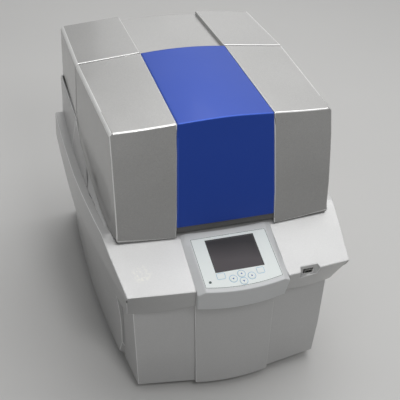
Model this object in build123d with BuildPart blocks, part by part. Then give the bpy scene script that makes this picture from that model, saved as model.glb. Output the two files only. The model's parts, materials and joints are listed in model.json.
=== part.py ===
from build123d import *
import math
import os

os.makedirs("parts", exist_ok=True)

# Frame: X across, Y front to back, Z up, millimetres, the instrument stands on its feet at Z = 0
WALL = 3.0
GAP = 0.3
SEAM = 1.6

# Deck and ledge, seen from the side
DECK_FRONT_Y = -234.4
DECK_FRONT_Z = 218.0
DECK_SLOPE = 0.355
LEDGE_Z = 255.5
LEDGE_Y = DECK_FRONT_Y + (LEDGE_Z - DECK_FRONT_Z) / DECK_SLOPE
DISH = 4.5
DISH_X = 73.6
WING_END_Y = 214.5
BODY_END_Y = 246.0

# Half width of the deck and ledge, as (y, x) stations
EDGE = [(-262, 171.7), (-234.4, 175.4), (-212, 178.4), (-189.5, 181.6), (-167, 184.8), (-146, 187.0), (LEDGE_Y, 188.9),
        (-98, 191.8), (-57, 194.5), (-31, 196.0), (0, 197.2), (25, 197.9), (51, 197.5), (80, 196.9), (110, 196.2),
        (149, 194.8), (182, 192.9), (WING_END_Y, 190.6)]

# How far the side wall leans in below the ledge, as (z, at the front, at the rear)
BASE_Z = 14.0
LEAN = [(BASE_Z, 26.3, 33.2), (50, 24.6, 31.7), (114, 19.6, 17.3), (157, 12.6, 9.0)]
BAND_Z = 212.0
BAND_MIN = 4.0

# Lip under the deck's front edge
LIP_CORNER = (168.3, -201.6, 157.2)
LIP_MID_Z = 177.7
LIP_MID_Y = -241.2

# Upper housing: half width and height of its top edge, height beside the blue panel and at the crown
LID_FRONT_Y = -150.2
SEAM_Y = 100.5
HOUSE_END_Y = 249.0
TOP = [(-175, 171.4, 412.6, 419.6, 423.4), (-102, 172.1, 412.2, 419.8, 423.8), (0, 174.3, 411.4, 420.2, 424.4),
       (SEAM_Y, 176.1, 410.6, 420.4, 424.6), (HOUSE_END_Y, 170.7, 403.3, 412.4, 416.4)]
SIDE_LOW = [(-175, 169.6), (LID_FRONT_Y, 169.8), (-100, 172.5), (0, 174.0), (SEAM_Y, 175.6), (HOUSE_END_Y, 168.9)]
FLARE = [(-175, 0.2), (LID_FRONT_Y, 0.2), (-123, 5.0), (0, 4.6), (60, 4.0), (SEAM_Y, 0.9)]
FLARE_H = 13.0
BLUE_TOP = [(SEAM_Y, 71.2), (-112.0, 74.6)]
BLUE_LOW_X = 78.4
BLUE_LOW_Z = 261.5
SHOULDER = 3.0

# Front face of the lid: height, y at the outer edges, y at the middle
LID_FACE = [(236.0, -154.0, -156.0), (252.0, -150.0, -152.1), (297.9, -140.9, -143.4), (337.9, -129.3, -132.9),
            (376.6, -117.5, -122.6), (400.0, -108.4, -116.6), (412.3, -103.6, -113.6), (424.0, -99.0, -110.8),
            (445.0, -90.8, -105.8)]
LID_FACE_X = 172.0
LID_LOW_MID = 4.6
LID_CORNER_R = 5.0

# Lower edge of the lid's side, as (y, z)
SWOOSH = [(-175, 250.2), (LID_FRONT_Y, 250.2), (-131, 256.3), (-123, 256.9), (-100, 258.1), (-67, 260.0), (-45, 263.6),
          (-20, 267.3), (7, 273.6), (38, 281.4), (60, 287.5), (80, 295.5), (SEAM_Y, 308.0)]
COVER_Z = 311.0

# Console
CON_Y = -221.7
CON_Z = 226.0
CON_SLOPE = 0.292
CON_FLAT_X = 62.0
CON_TILT = math.degrees(math.atan(CON_SLOPE))


def table(rows, y, col=1):
    if y <= rows[0][0]:
        return rows[0][col]
    for a, b in zip(rows, rows[1:]):
        if y <= b[0]:
            return a[col] + (b[col] - a[col]) * (y - a[0]) / (b[0] - a[0])
    return rows[-1][col]


def deck_z(y):
    return min(LEDGE_Z, DECK_FRONT_Z + DECK_SLOPE * (y - DECK_FRONT_Y))


def dish(y):
    return DISH * min(1, max(0, (LEDGE_Y - y) / 17))


def console_z(y):
    return CON_Z + CON_SLOPE * (y - CON_Y)


def lean(z, y):
    t = min(1, max(0, (y + 150) / (WING_END_Y + 150)))
    return table(LEAN, z, 1) * (1 - t) + table(LEAN, z, 2) * t


def base_section(y, inset, drop, floor, edge=EDGE, ease=1.0):
    # Cross-section of the base at one station, seen from the front
    top_x, top_z = table(edge, y) - inset, deck_z(y) - drop
    side = [(top_x - ease * lean(BASE_Z, y), floor)] + [(top_x - ease * lean(z, y), z) for z, _, _ in LEAN[1:]]
    side.append((top_x, min(BAND_Z, top_z - BAND_MIN)))
    with BuildSketch(Plane.XZ.offset(-y)) as section:
        with BuildLine():
            Line((-side[0][0], floor), side[0])
            Spline(*side)
            Polyline(side[-1], (top_x, top_z), (DISH_X, top_z - dish(y)), (0, top_z - dish(y)),
                     (-DISH_X, top_z - dish(y)), (-top_x, top_z), (-top_x, side[-1][1]))
            Spline(*[(-x, z) for x, z in reversed(side)])
        make_face()
    return section.sketch


def plan(points, z):
    with BuildSketch(Plane.XY.offset(z)) as face:
        with BuildLine():
            Polyline(*points, close=True)
        make_face()
    return face.sketch


def prism(plane, points, amount, both=False):
    # Straight solid on a closed outline
    with BuildPart() as solid:
        with BuildSketch(plane):
            with BuildLine():
                Polyline(*points, close=True)
            make_face()
        extrude(amount=amount, both=both)
    return solid.part


def lofted(sections, ruled=True):
    with BuildPart() as solid:
        loft(sections, ruled=ruled)
    return solid.part


def lip_outline(z, back, inset):
    # Plan of the base down to the lip, its front edge an arc that leans back below the deck
    t = (DECK_FRONT_Z - z) / (DECK_FRONT_Z - LIP_CORNER[2])
    corner_y = DECK_FRONT_Y + t * (LIP_CORNER[1] - DECK_FRONT_Y) + inset
    mid_y = LIP_MID_Y + t * 6.7 + inset
    with BuildSketch(Plane.XY.offset(z)) as face:
        with BuildLine():
            ThreePointArc((-176, corner_y), (0, mid_y), (176, corner_y))
            Polyline((176, corner_y), (230, corner_y + 6), (230, back), (-230, back), (-230, corner_y + 6),
                     (-176, corner_y))
        make_face()
    return face.sketch


FRONT_STATIONS = [-262, -234.4, -212, -189.5, -167, -146, LEDGE_Y]
REAR_STATIONS = [LEDGE_Y, -98, -57, -31, 0, 25, 51, 80, 110, 149, 182]
REAR_EDGE = [(WING_END_Y - 12, 179.0), (BODY_END_Y + 2, 171.4)]
REAR_EASE = 0.66

# Base shell: deck, ledges, flared side walls, undercut lip
SIDE_FRONT_Y = -160.0
CHAMBER = (-158.0, 158.0, -112.0, 84.0)
SCREEN_X = 39.0
SCREEN_Y0 = -221.7
SCREEN_Y1 = -165.9
USB_X = 110.0
USB_W = 31.0
USB_Z = 202.8
USB_BACK_Y = -229.3
USB_SHELL = (13.1, 5.7)
USB_MARGIN = 1.6
USB_FLANGE_T = 1.6
LIP_CUT = [(-230, LIP_CORNER[2] - 12.5), (-LIP_CORNER[0], LIP_CORNER[2]), (-DISH_X, LIP_MID_Z),
           (DISH_X, LIP_MID_Z), (LIP_CORNER[0], LIP_CORNER[2]), (230, LIP_CORNER[2] - 12.5)]


def base_block(inset, drop, floor):
    front = lofted([base_section(y, inset, drop, floor) for y in FRONT_STATIONS])
    middle = lofted([base_section(y, inset, drop, floor) for y in REAR_STATIONS + [WING_END_Y - inset]])
    tail = lofted([base_section(y, inset, drop, floor, REAR_EDGE, REAR_EASE)
                   for y in (WING_END_Y - 12, BODY_END_Y + (2 if inset else 0))])
    with BuildPart() as block:
        add(front)
        add(middle)
        add(tail)
    return block.part


def base_solid(inset, drop, floor, lip_rise, front_wall):
    body = base_block(inset, drop, floor)
    keep = lofted([lip_outline(z, 300, inset) for z in (0, 300)])
    under = prism(Plane.XZ.offset(300), [(-230, -5)] + [(x, z + lip_rise) for x, z in LIP_CUT] + [(230, -5)],
                  -(300 + front_wall))
    with BuildPart() as block:
        add(body)
        add(keep, mode=Mode.INTERSECT)
        add(under, mode=Mode.SUBTRACT)
    return block.part


def usb_notch(grow):
    # Notch in the deck's front edge with sloping sides, open to the front and the top
    sections = []
    for y, half, low in ((-256, USB_W / 2 + 6.6, USB_Z - 7.9), (USB_BACK_Y, USB_W / 2 - 1.5, USB_Z - 3.5)):
        with BuildSketch(Plane.XZ.offset(-y - (grow if y == USB_BACK_Y else 0))) as face:
            with BuildLine():
                Polyline((USB_X - half - grow, low - grow), (USB_X + half + grow, low - grow),
                         (USB_X + half + grow, 240), (USB_X - half - grow, 240), close=True)
            make_face()
        sections.append(face.sketch)
    return lofted(sections)


def tilted(x, y, lift=0.0):
    # Point on the console's sloping plane, as a location
    return Location(tuple(CONSOLE_PLANE.from_local_coords((x, (y - CON_Y) / math.cos(math.radians(CON_TILT)), lift))),
                    (CON_TILT, 0, 0))


CONSOLE_PLANE = Plane(origin=(0, CON_Y, CON_Z), x_dir=(1, 0, 0),
                      z_dir=(0, -math.sin(math.radians(CON_TILT)), math.cos(math.radians(CON_TILT))))

base_outer = base_solid(0, 0, BASE_Z, 0, SIDE_FRONT_Y)
base_inner = base_solid(WALL, WALL, BASE_Z - 6, WALL, SIDE_FRONT_Y + WALL)
notch = usb_notch(0)
with BuildPart() as notch_wall:
    add(usb_notch(WALL))
    add(base_outer, mode=Mode.INTERSECT)

with BuildPart() as base_shell:
    add(base_outer)
    add(base_inner, mode=Mode.SUBTRACT)
    add(notch_wall.part)
    add(notch, mode=Mode.SUBTRACT)
    with Locations(((CHAMBER[0] + CHAMBER[1]) / 2, (CHAMBER[2] + CHAMBER[3]) / 2, LEDGE_Z)):
        Box(CHAMBER[1] - CHAMBER[0], CHAMBER[3] - CHAMBER[2], 20, mode=Mode.SUBTRACT)
    with Locations(tilted(0, (SCREEN_Y0 + SCREEN_Y1) / 2)):
        Box(2 * SCREEN_X + 14, 76, 60, mode=Mode.SUBTRACT)
    with Locations((USB_X, USB_BACK_Y, USB_Z + 2.6)):
        Box(USB_SHELL[0] + 2 * USB_MARGIN, 20, USB_SHELL[1] + 2 * USB_MARGIN, mode=Mode.SUBTRACT)
base_shell.part.label = "base_shell"
export_step(base_shell.part, "parts/base_shell.step")

# Host port in the notch: a folded steel shell with its contact tongue, flanged behind the wall
with BuildPart() as usb_port:
    with Locations((USB_X, USB_BACK_Y + 5.5, USB_Z + 2.6)):
        Box(USB_SHELL[0], 13, USB_SHELL[1])
    with Locations((USB_X, USB_BACK_Y + WALL + USB_FLANGE_T / 2, USB_Z + 2.6)):
        Box(USB_SHELL[0] + 4 * USB_MARGIN, USB_FLANGE_T, USB_SHELL[1] + 4 * USB_MARGIN)
    with Locations((USB_X, USB_BACK_Y + 4, USB_Z + 2.6)):
        Box(USB_SHELL[0] - 1, 13, USB_SHELL[1] - 1, mode=Mode.SUBTRACT)
    with Locations((USB_X, USB_BACK_Y + 6.5, USB_Z + 3.6)):
        Box(USB_SHELL[0] - 3, 10, 1.2)
usb_port.part.label = "usb_port"
export_step(usb_port.part, "parts/usb_port.step")

# Front cover: a flat facet on each side of the centre panel, with side returns
COVER_ROWS = [(BASE_Z, 149.6, -222.4, -236.3, 156.2), (75, 153.6, -218.4, -229.5, 159.4),
              (185, 159.6, -203.0, -213.0, 165.6)]
FACET_X = 61.0


def cover_outline(z, x1, y1, y0, x2, inset):
    with BuildSketch(Plane.XY.offset(z)) as face:
        with BuildLine():
            Polyline((-x1 + inset, y1 + inset), (-FACET_X, y0 + inset), (FACET_X, y0 + inset), (x1 - inset, y1 + inset),
                     (x2 - inset, SIDE_FRONT_Y + 8), (inset - x2, SIDE_FRONT_Y + 8), close=True)
        make_face()
    return face.sketch


cover_outer = lofted([cover_outline(*row, 0) for row in COVER_ROWS])
cover_inner = lofted([cover_outline(COVER_ROWS[0][0] - 4, *COVER_ROWS[0][1:], WALL)]
                     + [cover_outline(*row, WALL) for row in COVER_ROWS[1:]])
below_lip = prism(Plane.XZ.offset(300), [(-230, -5)] + [(x, z - GAP) for x, z in LIP_CUT] + [(230, -5)], -300)
with BuildPart() as front_cover:
    add(cover_outer)
    add(cover_inner, mode=Mode.SUBTRACT)
    add(below_lip, mode=Mode.INTERSECT)
    with Locations((0, SIDE_FRONT_Y + 10 - GAP, 100)):
        Box(400, 20, 240, mode=Mode.SUBTRACT)
front_cover.part.label = "front_cover"
export_step(front_cover.part, "parts/front_cover.step")

# Centre panel: bulged in plan, proud of the facets
PANEL_ROWS = [(BASE_Z - 1, 60.5, -242.0, -248.0), (95, 63.0, -229.5, -235.5), (LIP_MID_Z - GAP, 66.0, -216.5, -223.5)]


def panel_outline(z, half, y1, y0):
    with BuildSketch(Plane.XY.offset(z)) as face:
        with BuildLine():
            ThreePointArc((-half, y1), (0, y0), (half, y1))
            Polyline((half, y1), (half, y1 + 6.0), (-half, y1 + 6.0), (-half, y1))
        make_face()
    return face.sketch


panel_outer = lofted([panel_outline(*row) for row in PANEL_ROWS])
with BuildPart() as front_panel:
    add(panel_outer)
    add(cover_outer, mode=Mode.SUBTRACT)
    with Locations((0, -235, BASE_Z - 1)):
        Box(200, 40, 2, mode=Mode.SUBTRACT)
front_panel.part.label = "front_panel"
export_step(front_panel.part, "parts/front_panel.step")

# Collar between the ledges and the upper housing, its top following the lid's lower edge
COLLAR = [(-114, 180.2, 176.8), (-100, 181.0, 177.0), (-67, 183.4, 177.4), (-20, 185.2, 177.4),
          (38, 185.4, 177.4), (80, 184.6, 177.2), (SEAM_Y, 183.9, 177.0)]
COLLAR_REAR = [(SEAM_Y, 183.9, 177.0), (153, 180.8, 175.8), (200, 178.0, 174.7), (BODY_END_Y, 171.3, 173.6)]
COLLAR_WALL = 3.5


def collar_wall(rows, s, rear):
    faces = []
    for y, low, high in rows:
        top = COVER_Z if rear else max(LEDGE_Z + 0.4, table(SWOOSH, y) - 1.5)
        with BuildSketch(Plane.XZ.offset(-y)) as face:
            with BuildLine():
                Polyline((s * low, LEDGE_Z), (s * high, top), (s * (high - COLLAR_WALL), top),
                         (s * (high - COLLAR_WALL), LEDGE_Z), close=True)
            make_face()
        faces.append(face.sketch)
    return lofted(faces)


collar_walls = [collar_wall(rows, s, rear) for s in (-1, 1) for rows, rear in ((COLLAR, False), (COLLAR_REAR, True))]
with BuildPart() as collar:
    for wall in collar_walls:
        add(wall)
    with Locations((0, BODY_END_Y - COLLAR_WALL / 2, (LEDGE_Z + COVER_Z) / 2)):
        Box(2 * 171.0, COLLAR_WALL, COVER_Z - LEDGE_Z)
collar.part.label = "collar"
export_step(collar.part, "parts/collar.step")

# Lid: outer skin as lofted cross-sections, cut by the leaning, bulged front face
PLAIN_STATIONS = [-175, LID_FRONT_Y, -100, 0, SEAM_Y]
LID_STATIONS = [-175, LID_FRONT_Y, -131, -123, -100, -67, -45, -20, 7, 38, 60, 80, SEAM_Y]
CHAMFER_Z = 2.2
BLUE_PROUD = 0.9


def house_section(y, inset, low_z, flare, low_mid):
    x, z, z_blue, z_crown = (table(TOP, y, c) for c in (1, 2, 3, 4))
    x, z, z_blue, z_crown = x - inset, z - inset, z_blue - inset, z_crown - inset
    x_low = table(SIDE_LOW, y) - inset
    right = [(x_low + flare, low_z), (x_low, low_z + FLARE_H), (x, z - CHAMFER_Z - 1)]
    crown = [(x - SHOULDER, z), (74, z_blue), (0, z_crown), (-74, z_blue), (SHOULDER - x, z)]
    with BuildSketch(Plane.XZ.offset(-y)) as section:
        with BuildLine():
            Polyline(*right, crown[0])
            Spline(*crown)
            Polyline(crown[-1], *[(-a, b) for a, b in reversed(right)], (-80, low_z - low_mid),
                     (80, low_z - low_mid), right[0])
        make_face()
    return section.sketch


def front_arc(z, y1, y0, inset):
    with BuildSketch(Plane.XY.offset(z)) as face:
        with BuildLine():
            ThreePointArc((-LID_FACE_X, y1 + inset), (0, y0 + inset), (LID_FACE_X, y1 + inset))
            Polyline((LID_FACE_X, y1 + inset), (LID_FACE_X + 20, y1 + inset + 4), (LID_FACE_X + 20, 300),
                     (-LID_FACE_X - 20, 300), (-LID_FACE_X - 20, y1 + inset + 4), (-LID_FACE_X, y1 + inset))
        make_face()
    return face.sketch


def plain_block(inset):
    # Skin offset inwards by inset, with straight walls down past the lid's lower edge
    return lofted([house_section(y, inset, 220, 0, 0) for y in PLAIN_STATIONS])


def face_block(inset):
    return lofted([front_arc(*row, inset) for row in LID_FACE])


def centre_strip(grow, low_z):
    # Region of the centre panel: a strip over the top and a widening strip down the front
    (y1, x1), (y0, x0) = BLUE_TOP
    top = prism(Plane.XY.offset(300), [(-x1 - grow, y1 + 1), (x1 + grow, y1 + 1), (x0 + grow, y0), (-x0 - grow, y0)], 160)
    low_x = BLUE_LOW_X + (BLUE_LOW_Z - low_z) * (BLUE_LOW_X - x0) / (421 - BLUE_LOW_Z)
    front = prism(Plane.XZ.offset(-y0), [(-low_x - grow, low_z), (low_x + grow, low_z), (x0 + grow, 421),
                                         (x0 + grow, 460), (-x0 - grow, 460), (-x0 - grow, 421)], 60)
    with BuildPart() as region:
        add(top)
        add(front)
    return region.part


outer_skin = lofted([house_section(y, 0, table(SWOOSH, y), table(FLARE, y), LID_LOW_MID) for y in LID_STATIONS])
inner_skin = plain_block(WALL)
outer_face = face_block(0)
inner_face = face_block(WALL)
with BuildPart() as lid_cavity:
    add(inner_skin)
    add(inner_face, mode=Mode.INTERSECT)
strip_gap = centre_strip(GAP / 2, 230)
corner_cuts = []
for s in (-1, 1):
    with BuildPart() as corner:
        with BuildSketch(Plane.XZ.offset(180)):
            with Locations((s * (170.2 - LID_CORNER_R / 2 + 10), 250.0 + LID_CORNER_R / 2 - 10)):
                Rectangle(LID_CORNER_R + 20, LID_CORNER_R + 20)
            with Locations((s * (170.2 - LID_CORNER_R), 250.0 + LID_CORNER_R)):
                Circle(LID_CORNER_R, mode=Mode.SUBTRACT)
        extrude(amount=-40)
    corner_cuts.append(corner.part)

for s, name in ((-1, "lid_side_left"), (1, "lid_side_right")):
    with BuildPart() as lid_side:
        add(outer_skin)
        add(outer_face, mode=Mode.INTERSECT)
        add(lid_cavity.part, mode=Mode.SUBTRACT)
        with Locations((-s * 200, 0, 350)):
            Box(400, 700, 400, mode=Mode.SUBTRACT)
        add(strip_gap, mode=Mode.SUBTRACT)
        add(corner_cuts[(s + 1) // 2], mode=Mode.SUBTRACT)
    lid_side.part.label = name
    export_step(lid_side.part, f"parts/{name}.step")

panel_skin = plain_block(0)
panel_strip = centre_strip(-GAP / 2, BLUE_LOW_Z)
with BuildPart() as lid_panel:
    add(panel_skin)
    add(panel_strip, mode=Mode.INTERSECT)
    add(face_block(-BLUE_PROUD), mode=Mode.INTERSECT)
    add(lid_cavity.part, mode=Mode.SUBTRACT)
lid_panel.part.label = "lid_panel"
export_step(lid_panel.part, "parts/lid_panel.step")

# Lid liner: inner skin that ties the lid's three outer pieces, its front edge showing as a strip
LINER = 2.0
LINER_END_Y = 84.0
ARM_X = 120.0
ARM_W = 8.0
PAD_Z = 405.0
PAD_Y = 76.5
PAD_REACH = 425.0 - PAD_Z
with BuildPart() as liner_space:
    add(plain_block(WALL + LINER))
    add(face_block(WALL + LINER), mode=Mode.INTERSECT)
    with Locations((-ARM_X, PAD_Y, PAD_Z), (ARM_X, PAD_Y, PAD_Z)):
        Box(ARM_W + 12, 14, PAD_REACH, align=(Align.CENTER, Align.CENTER, Align.MIN), mode=Mode.SUBTRACT)
liner_low = prism(Plane.YZ, [(-190, 200)] + [(y, z + 0.8) for y, z in SWOOSH] + [(110, 200)], 260, both=True)
with BuildPart() as lid_liner:
    add(lid_cavity.part)
    add(liner_space.part, mode=Mode.SUBTRACT)
    add(liner_low, mode=Mode.SUBTRACT)
    with Locations((0, LINER_END_Y + 100, 340)):
        Box(400, 200, 300, mode=Mode.SUBTRACT)
lid_liner.part.label = "lid_liner"
export_step(lid_liner.part, "parts/lid_liner.step")

# Rear cover with a recessed centre strip
COVER_STATIONS = [SEAM_Y + SEAM, 150, 200, HOUSE_END_Y]
STRIP_DEPTH = 7.0


def cover_block(inset, low_z):
    return lofted([house_section(y, inset, low_z, 0, 0) for y in COVER_STATIONS])


def strip_plan(grow):
    return prism(Plane.XY.offset(340), [(-71.2 - grow, SEAM_Y), (71.2 + grow, SEAM_Y), (69.2 + grow, HOUSE_END_Y + 1),
                                        (-69.2 - grow, HOUSE_END_Y + 1)], 110)


low_skin = cover_block(STRIP_DEPTH, COVER_Z)
with BuildPart() as groove:
    add(strip_plan(0))
    add(low_skin, mode=Mode.SUBTRACT)
with BuildPart() as low_space:
    add(cover_block(STRIP_DEPTH + WALL, COVER_Z - 12))
with BuildPart() as cover_space:
    add(cover_block(WALL, COVER_Z - 12))
    add(strip_plan(WALL), mode=Mode.SUBTRACT)
    add(low_space.part)
    with Locations((0, HOUSE_END_Y, 360)):
        Box(400, 2 * WALL, 200, mode=Mode.SUBTRACT)
with BuildPart() as rear_cover:
    add(cover_block(0, COVER_Z))
    add(groove.part, mode=Mode.SUBTRACT)
    add(cover_space.part, mode=Mode.SUBTRACT)
rear_cover.part.label = "rear_cover"
export_step(rear_cover.part, "parts/rear_cover.step")

# Lid arms: goosenecks from the pivot behind the seam, under the rear edge, up to the liner's pads
PIVOT_Y = 156.5
PIVOT_Z = 398.0
HUB_R = 8.5
PIN_R = 4.0
PIN_FIT = 0.03
ARM_T = 12.0
ARM_PATH = [(PIVOT_Y, PIVOT_Z), (PIVOT_Y - 10, PIVOT_Z - 62), (PAD_Y, PIVOT_Z - 50), (PAD_Y, PAD_Z - 4)]
for s, name in ((-1, "lid_arm_left"), (1, "lid_arm_right")):
    with BuildPart() as lid_arm:
        with BuildSketch(Plane.YZ.offset(s * ARM_X - ARM_W / 2)):
            with BuildLine():
                Polyline(*ARM_PATH)
            trace(line_width=ARM_T)
            with Locations(ARM_PATH[0]):
                Circle(HUB_R)
            for y, z in ARM_PATH[1:-1]:
                with Locations((y, z)):
                    Circle(ARM_T / 2)
            with Locations((PAD_Y, PAD_Z - 3)):
                Rectangle(14, 6)
            with Locations(ARM_PATH[0]):
                Circle(PIN_R + PIN_FIT, mode=Mode.SUBTRACT)
        extrude(amount=ARM_W)
    lid_arm.part.label = name
    export_step(lid_arm.part, f"parts/{name}.step")

# Hinge brackets: foot, upright and pivot pin, standing beside the rear opening
BRACKET_X = 126.5
BRACKET_T = 3.0
for s, name in ((-1, "hinge_bracket_left"), (1, "hinge_bracket_right")):
    with BuildPart() as hinge_bracket:
        with BuildSketch(Plane.YZ.offset(s * BRACKET_X - BRACKET_T / 2)):
            with BuildLine():
                Polyline((PIVOT_Y - 22, LEDGE_Z), (PIVOT_Y + 28, LEDGE_Z), (PIVOT_Y + 9, PIVOT_Z), (PIVOT_Y - 9, PIVOT_Z),
                         close=True)
            make_face()
            with Locations((PIVOT_Y, PIVOT_Z)):
                Circle(9)
        extrude(amount=BRACKET_T)
        with Locations((s * (BRACKET_X + 11), PIVOT_Y + 3, LEDGE_Z + BRACKET_T / 2)):
            Box(22 + BRACKET_T, 50, BRACKET_T)
        with BuildSketch(Plane.YZ.offset(s * BRACKET_X - (0 if s < 0 else 13.5))):
            with Locations((PIVOT_Y, PIVOT_Z)):
                Circle(PIN_R)
        extrude(amount=13.5)
    hinge_bracket.part.label = name
    export_step(hinge_bracket.part, f"parts/{name}.step")

# Console: raised operator panel over the dished part of the deck, its front lip wrapping the edge
CONSOLE_LOW = (178.0, 70.0, -241.5, -251.0)
CONSOLE_HIGH = (262.0, 78.0, -253.7, -261.0)
CONSOLE_STATIONS = [-270, -234.4, -167, -146, -134]
CON_SPACE_Y = -237.0


def console_section(y, inset):
    top, deck = console_z(y) - inset, deck_z(y) - dish(y)
    low_x, high_x = DISH_X - 1.3 * inset, CON_FLAT_X - 0.5 * inset
    with BuildSketch(Plane.XZ.offset(-y)) as face:
        with BuildLine():
            Polyline((-low_x, 165), (-low_x, min(deck, top - 0.5)), (-high_x, top), (high_x, top),
                     (low_x, min(deck, top - 0.5)), (low_x, 165), close=True)
        make_face()
    return face.sketch


def console_plan(z, half, corner_y, mid_y, inset):
    with BuildSketch(Plane.XY.offset(z)) as face:
        with BuildLine():
            ThreePointArc((-half + inset, corner_y + inset), (0, mid_y + inset), (half - inset, corner_y + inset))
            Line((half - inset, corner_y + inset), (half - inset, -147 - inset))
            ThreePointArc((half - inset, -147 - inset), (0, -151 - inset), (inset - half, -147 - inset))
            Line((inset - half, -147 - inset), (inset - half, corner_y + inset))
        make_face()
    return face.sketch


def console_solid(inset):
    top = lofted([console_section(y, inset) for y in CONSOLE_STATIONS])
    low = CONSOLE_LOW
    if inset:
        low = [CONSOLE_LOW[k] - 0.1 * (CONSOLE_HIGH[k] - CONSOLE_LOW[k]) for k in range(4)]
    outline = lofted([console_plan(*low, inset), console_plan(*CONSOLE_HIGH, inset)])
    with BuildPart() as solid:
        add(top)
        add(outline, mode=Mode.INTERSECT)
    return solid.part


KEY_R = 5.6
KEY_GAP = 0.25
KEY_RISE = 0.9
KEY_TRAVEL = 0.45
ROUND_KEYS = {"key_left": (-15.4, -235.2), "key_up": (-1.0, -229.4), "key_down": (-1.0, -241.4),
              "key_right": (13.6, -235.2)}
SOFT_KEYS = {"key_soft_left": (-32.5, -227.9, 12.0, 9.4), "key_soft_right": (29.5, -228.9, 10.8, 9.4)}
LAMP = (-51.3, -234.9)
LAMP_R = 2.0
SHEET = 0.4
SCREEN_MID = (SCREEN_Y0 + SCREEN_Y1) / 2
SLANT = 1 / math.cos(math.radians(CON_TILT))
SCREEN_H = (SCREEN_Y1 - SCREEN_Y0) * SLANT

with BuildPart() as console_space:
    add(console_solid(WALL))
    with Locations((0, CON_SPACE_Y - 50, 200)):
        Box(300, 100, 200, mode=Mode.SUBTRACT)
with BuildPart() as console:
    add(console_solid(0))
    add(base_outer, mode=Mode.SUBTRACT)
    add(console_space.part, mode=Mode.SUBTRACT)
    with Locations(tilted(0, SCREEN_MID)):
        Box(2 * SCREEN_X + 5, SCREEN_H + 1.2, 20, mode=Mode.SUBTRACT)
    with Locations(*[tilted(x, y) for x, y in ROUND_KEYS.values()]):
        Cylinder(KEY_R + KEY_GAP, 20, mode=Mode.SUBTRACT)
    with Locations(*[tilted(x, y, -WALL) for x, y in ROUND_KEYS.values()]):
        Cylinder(KEY_R + 0.8, 4, align=(Align.CENTER, Align.CENTER, Align.MAX), mode=Mode.SUBTRACT)
    for x, y, w, d in SOFT_KEYS.values():
        with Locations(tilted(x, y)):
            Box(w + 2 * KEY_GAP, d + 2 * KEY_GAP, 20, mode=Mode.SUBTRACT)
    with Locations(tilted(*LAMP, -WALL)):
        Cylinder(LAMP_R + 1.8, 4, align=(Align.CENTER, Align.CENTER, Align.MAX), mode=Mode.SUBTRACT)
    with Locations(tilted(*LAMP)):
        Cylinder(LAMP_R + KEY_GAP, 20, mode=Mode.SUBTRACT)
console.part.label = "console"
export_step(console.part, "parts/console.step")

# Membrane overlay on the console, with its window and key openings
with BuildPart() as overlay:
    with BuildSketch(CONSOLE_PLANE):
        with BuildLine():
            Polyline((61, (-243.3 - CON_Y) * SLANT), (60.5, (-160.5 - CON_Y) * SLANT),
                     (-60.5, (-160.5 - CON_Y) * SLANT), (-61, (-243.3 - CON_Y) * SLANT))
            ThreePointArc((-61, (-243.3 - CON_Y) * SLANT), (0, (-249.1 - CON_Y) * SLANT), (61, (-243.3 - CON_Y) * SLANT))
        make_face()
        with Locations((0, (SCREEN_MID - CON_Y) * SLANT)):
            Rectangle(2 * SCREEN_X, SCREEN_H, mode=Mode.SUBTRACT)
        for x, y in ROUND_KEYS.values():
            with Locations((x, (y - CON_Y) * SLANT)):
                Circle(KEY_R + KEY_GAP, mode=Mode.SUBTRACT)
        for x, y, w, d in SOFT_KEYS.values():
            with Locations((x, (y - CON_Y) * SLANT)):
                RectangleRounded(w + 2 * KEY_GAP, d + 2 * KEY_GAP, 1.5, mode=Mode.SUBTRACT)
        with Locations((LAMP[0], (LAMP[1] - CON_Y) * SLANT)):
            Circle(LAMP_R + KEY_GAP, mode=Mode.SUBTRACT)
    extrude(amount=SHEET)
overlay.part.label = "console_overlay"
export_step(overlay.part, "parts/console_overlay.step")

# Display: glass in the console's opening, module behind it held against the console's underside
GLASS_T = 1.6
with BuildPart() as display_glass:
    with Locations(tilted(0, SCREEN_MID, -GLASS_T / 2)):
        Box(2 * SCREEN_X + 4.4, SCREEN_H + 0.6, GLASS_T)
display_glass.part.label = "display_glass"
export_step(display_glass.part, "parts/display_glass.step")
with BuildPart() as display_module:
    with Locations(tilted(0, SCREEN_MID, -(GLASS_T + WALL) / 2)):
        Box(2 * SCREEN_X + 2, SCREEN_H, WALL - GLASS_T)
    with Locations(tilted(0, SCREEN_MID + 1.6, -WALL - 0.9)):
        Box(2 * SCREEN_X + 9, SCREEN_H + 4.6, 1.8)
    with Locations(tilted(0, SCREEN_MID, -WALL - 1.8 - 3)):
        Box(2 * SCREEN_X + 2, SCREEN_H - 4, 6)
display_module.part.label = "display_module"
export_step(display_module.part, "parts/display_module.step")

# Keys: caps with a stem and a retaining flange below the console's skin
FLANGE_T = 1.2
STEM_LOW = -WALL - GAP - FLANGE_T
for name, (x, y) in ROUND_KEYS.items():
    with BuildPart() as key:
        with Locations(tilted(x, y, (KEY_RISE + STEM_LOW) / 2)):
            Cylinder(KEY_R, KEY_RISE - STEM_LOW)
        chamfer(key.edges().filter_by(GeomType.CIRCLE).sort_by(Axis((0, 0, 0), CONSOLE_PLANE.z_dir))[-1:],
                length=0.4)
        with Locations(tilted(x, y, STEM_LOW + FLANGE_T / 2)):
            Cylinder(KEY_R + 0.45, FLANGE_T)
    key.part.label = name
    export_step(key.part, f"parts/{name}.step")
for name, (x, y, w, d) in SOFT_KEYS.items():
    with BuildPart() as soft_key:
        with Locations(tilted(x, y, (KEY_RISE - 0.3 + STEM_LOW) / 2)):
            Box(w, d, KEY_RISE - 0.3 - STEM_LOW)
        fillet(soft_key.edges().filter_by(Axis((0, 0, 0), CONSOLE_PLANE.z_dir)), radius=1.2)
        with Locations(tilted(x, y, STEM_LOW + FLANGE_T / 2)):
            Box(w + 1.6, d - 1.0, FLANGE_T)
    soft_key.part.label = name
    export_step(soft_key.part, f"parts/{name}.step")
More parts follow.
